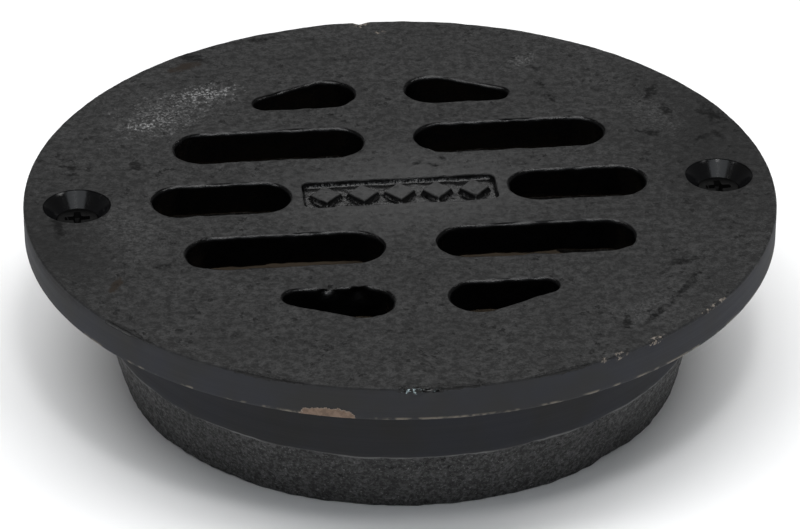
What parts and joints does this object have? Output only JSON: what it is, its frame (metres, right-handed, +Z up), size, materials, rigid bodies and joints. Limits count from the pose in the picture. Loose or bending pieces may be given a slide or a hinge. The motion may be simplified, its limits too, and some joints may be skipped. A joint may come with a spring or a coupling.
{
  "type": "floor drain grate",
  "caption": "Round cast iron floor drain grate with rows of slots, screwed to a turned spigot collar for a pipe hub.",
  "frame": {"origin": "centre of the collar's bottom ring, which is what the part stands on", "axes": "+Z up, out of the pipe; +X along the slots, through both screws; +Y across the rows of slots, away from the viewer"},
  "size_m": [0.142, 0.142, 0.0362],
  "materials": {
    "painted_iron": "black paint over a sand-cast surface",
    "turned_iron": "black paint over turned and rough cast iron",
    "screw_steel": "glossy black coating"
  },
  "bodies": {
    "collar": {"collar": "turned_iron"},
    "grate": {"grate": "painted_iron"},
    "screw_left": {"screw_left": "screw_steel"},
    "screw_right": {"screw_right": "screw_steel"}
  },
  "joints": [
    {"name": "grate_lift", "type": "slide", "parent": "collar", "child": "grate", "axis": [0, 0, 1], "range_m": [0, 0.01]},
    {"name": "screw_left_turn", "type": "hinge", "parent": "grate", "child": "screw_left", "pos_m": [-0.06095, 0, 0.03], "axis": [0, 0, 1], "range_deg": [0, 4540]},
    {"name": "screw_right_turn", "type": "hinge", "parent": "grate", "child": "screw_right", "pos_m": [0.06095, 0, 0.03], "axis": [0, 0, 1], "range_deg": [0, 4540]}
  ],
  "couplings": [
    {"joint": "screw_left_turn", "follows": "grate_lift", "rad_per_m": 7915.8},
    {"joint": "screw_right_turn", "follows": "grate_lift", "rad_per_m": 7915.8}
  ]
}
